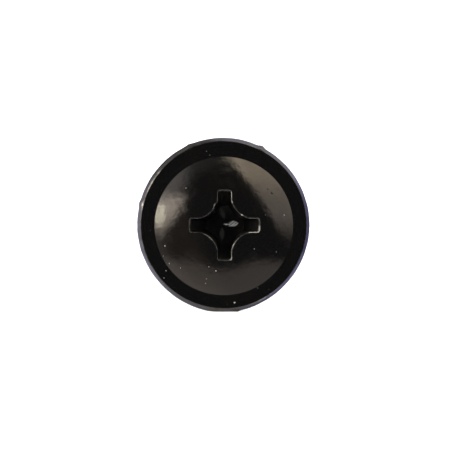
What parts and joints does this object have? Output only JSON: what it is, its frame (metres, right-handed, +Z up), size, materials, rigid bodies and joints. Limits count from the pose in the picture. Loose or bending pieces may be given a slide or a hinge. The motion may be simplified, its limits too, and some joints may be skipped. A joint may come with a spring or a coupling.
{
  "type": "self-tapping screw",
  "caption": "Self-tapping screw with a domed washer head, a cross recess, a coarse right-hand thread and a sharp tapered point.",
  "frame": {"origin": "on the surface the screw lies on, under the middle of its box", "axes": "+Z up; the screw lies along Y with its point towards +Y and its head towards -Y; X runs across the head"},
  "size_m": [0.011, 0.021, 0.0107],
  "materials": {
    "black_coated_steel": "gloss black coating on steel"
  },
  "bodies": {
    "root": {"screw": "black_coated_steel"}
  },
  "joints": []
}
